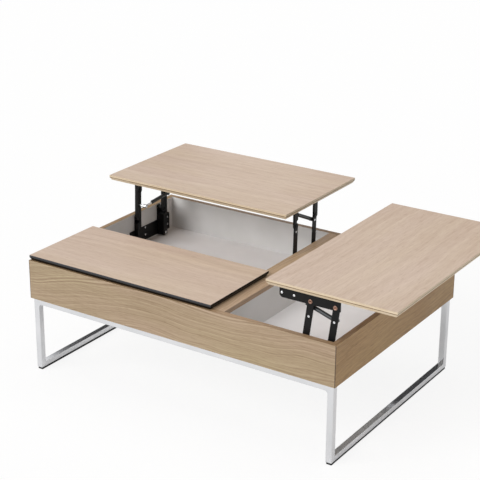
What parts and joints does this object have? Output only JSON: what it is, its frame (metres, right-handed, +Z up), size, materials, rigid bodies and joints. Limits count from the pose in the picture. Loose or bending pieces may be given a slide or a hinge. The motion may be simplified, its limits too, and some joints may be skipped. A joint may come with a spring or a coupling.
{
  "type": "lift top coffee table",
  "caption": "Low rectangular storage table on a chrome bar base, with a fixed front top and two tops that rise outwards on parallel arms.",
  "frame": {"origin": "middle of the overall box on the floor, with both moving tops raised", "axes": "+X to the right along the long front, +Y from the front to the back, +Z up"},
  "size_m": [1.3584, 0.893, 0.5784],
  "materials": {
    "oak_veneer": "oak veneer under a matt lacquer, straight grain",
    "grey_lacquer": "board with a pale grey satin lacquer",
    "batten_wood": "plain hardwood batten",
    "chrome": "polished chrome plating on square bar",
    "black_rubber": "matt black",
    "zinc_steel": "bright zinc plating",
    "copper_rivet": "copper-coloured plating, brushed",
    "black_steel": "black powder coat, satin"
  },
  "bodies": {
    "table": {"back_panel": "oak_veneer", "base_pins": "black_steel", "base_screws": "zinc_steel", "bottom_panel": "grey_lacquer", "divider_cap": "oak_veneer", "divider_left_board": "grey_lacquer", "divider_right_board": "grey_lacquer", "frame_bolts": "zinc_steel", "front_leg_frame": "chrome", "front_panel": "oak_veneer", "front_top": "oak_veneer", "front_top_cleats": "batten_wood", "left_foot_strip": "black_rubber", "left_panel": "oak_veneer", "left_runner": "chrome", "rear_left_base_plate": "black_steel", "rear_left_buffer_spring": "zinc_steel", "rear_leg_frame": "chrome", "rear_right_base_plate": "black_steel", "rear_right_buffer_spring": "zinc_steel", "right_back_base_plate": "black_steel", "right_back_buffer_spring": "zinc_steel", "right_foot_strip": "black_rubber", "right_front_base_plate": "black_steel", "right_front_buffer_spring": "zinc_steel", "right_panel": "oak_veneer", "right_runner": "chrome", "stop_studs": "zinc_steel"},
    "rear_inner_arms_body": {"rear_inner_arms": "black_steel", "rear_inner_arm_rivets": "zinc_steel"},
    "rear_outer_arms_body": {"rear_outer_arms": "black_steel", "rear_outer_arm_rivets": "zinc_steel"},
    "rear_top_body": {"rear_top": "oak_veneer", "rear_left_bracket": "black_steel", "rear_right_bracket": "black_steel", "rear_top_pivots": "black_steel", "rear_bracket_rivets": "zinc_steel", "rear_bracket_screws": "zinc_steel"},
    "rear_assist_sleeve_body": {"rear_assist_sleeve": "black_steel"},
    "rear_assist_rod_body": {"rear_assist_rod": "zinc_steel"},
    "rear_damper_rod_body": {"rear_damper_rod": "zinc_steel"},
    "rear_damper_sleeve_body": {"rear_damper_sleeve": "black_steel"},
    "right_inner_arms_body": {"right_inner_arms": "black_steel", "right_inner_arm_rivets": "zinc_steel"},
    "right_outer_arms_body": {"right_outer_arms": "black_steel", "right_outer_arm_rivets": "zinc_steel"},
    "right_top_body": {"right_top": "oak_veneer", "right_front_bracket": "black_steel", "right_back_bracket": "black_steel", "right_top_pivots": "copper_rivet", "right_bracket_rivets": "zinc_steel", "right_bracket_screws": "zinc_steel"},
    "right_assist_sleeve_body": {"right_assist_sleeve": "black_steel"},
    "right_assist_rod_body": {"right_assist_rod": "zinc_steel"},
    "right_damper_rod_body": {"right_damper_rod": "zinc_steel"},
    "right_damper_sleeve_body": {"right_damper_sleeve": "black_steel"}
  },
  "joints": [
    {"name": "rear_lift", "type": "hinge", "parent": "table", "child": "rear_inner_arms_body", "pos_m": [-0.66016, 0.11154, 0.3865], "axis": [1, 0, 0], "range_deg": [0, 122.63]},
    {"name": "rear_outer_arm_turn", "type": "hinge", "parent": "table", "child": "rear_outer_arms_body", "pos_m": [-0.66016, 0.24754, 0.3865], "axis": [1, 0, 0], "range_deg": [0, 122.64]},
    {"name": "rear_top_turn", "type": "hinge", "parent": "rear_inner_arms_body", "child": "rear_top_body", "pos_m": [-0.66016, 0.11524, 0.49244], "axis": [1, 0, 0], "range_deg": [-122.64, 0]},
    {"name": "rear_assist_turn", "type": "hinge", "parent": "rear_outer_arms_body", "child": "rear_assist_sleeve_body", "pos_m": [-0.00516, 0.25055, 0.47245], "axis": [1, 0, 0], "range_deg": [-112.12, 0]},
    {"name": "rear_assist_slide", "type": "slide", "parent": "rear_assist_sleeve_body", "child": "rear_assist_rod_body", "axis": [0, -0.9064, 0.4225], "range_m": [0, 0.00672]},
    {"name": "rear_damper_turn", "type": "hinge", "parent": "rear_inner_arms_body", "child": "rear_damper_rod_body", "pos_m": [-0.61976, 0.11329, 0.43647], "axis": [1, 0, 0], "range_deg": [-129.12, 0]},
    {"name": "rear_damper_slide", "type": "slide", "parent": "rear_damper_rod_body", "child": "rear_damper_sleeve_body", "axis": [0, 0.9973, 0.0731], "range_m": [-0.00924, 0]},
    {"name": "right_lift", "type": "hinge", "parent": "table", "child": "right_inner_arms_body", "pos_m": [0.36634, -0.42746, 0.335], "axis": [0, -1, 0], "range_deg": [0, 84.91]},
    {"name": "right_outer_arm_turn", "type": "hinge", "parent": "table", "child": "right_outer_arms_body", "pos_m": [0.44934, -0.42746, 0.335], "axis": [0, -1, 0], "range_deg": [0, 84.92]},
    {"name": "right_top_turn", "type": "hinge", "parent": "right_inner_arms_body", "child": "right_top_body", "pos_m": [0.38879, -0.42746, 0.50553], "axis": [0, -1, 0], "range_deg": [-84.92, 0]},
    {"name": "right_assist_turn", "type": "hinge", "parent": "right_outer_arms_body", "child": "right_assist_sleeve_body", "pos_m": [0.46527, -0.40366, 0.45596], "axis": [0, -1, 0], "range_deg": [-71.38, 0]},
    {"name": "right_assist_slide", "type": "slide", "parent": "right_assist_sleeve_body", "child": "right_assist_rod_body", "axis": [-0.9523, 0, 0.3051], "range_m": [0, 0.04728]},
    {"name": "right_damper_turn", "type": "hinge", "parent": "right_inner_arms_body", "child": "right_damper_rod_body", "pos_m": [0.37874, 0.29434, 0.42919], "axis": [0, -1, 0], "range_deg": [-89.45, 0]},
    {"name": "right_damper_slide", "type": "slide", "parent": "right_damper_rod_body", "child": "right_damper_sleeve_body", "axis": [0.9944, 0, 0.1054], "range_m": [-0.01042, 0]}
  ],
  "couplings": [
    {"joint": "rear_outer_arm_turn", "follows": "rear_lift", "ratio": 1},
    {"joint": "rear_top_turn", "follows": "rear_lift", "ratio": -1},
    {"joint": "rear_assist_turn", "follows": "rear_lift", "ratio": -0.91423},
    {"joint": "rear_assist_slide", "follows": "rear_lift", "m_per_rad": 0.0031285},
    {"joint": "rear_damper_turn", "follows": "rear_lift", "ratio": -1.0529},
    {"joint": "rear_damper_slide", "follows": "rear_lift", "m_per_rad": -0.004307},
    {"joint": "right_outer_arm_turn", "follows": "right_lift", "ratio": 1},
    {"joint": "right_top_turn", "follows": "right_lift", "ratio": -1},
    {"joint": "right_assist_turn", "follows": "right_lift", "ratio": -0.84055},
    {"joint": "right_assist_slide", "follows": "right_lift", "m_per_rad": 0.031893},
    {"joint": "right_damper_turn", "follows": "right_lift", "ratio": -1.0534},
    {"joint": "right_damper_slide", "follows": "right_lift", "m_per_rad": -0.0070206}
  ]
}
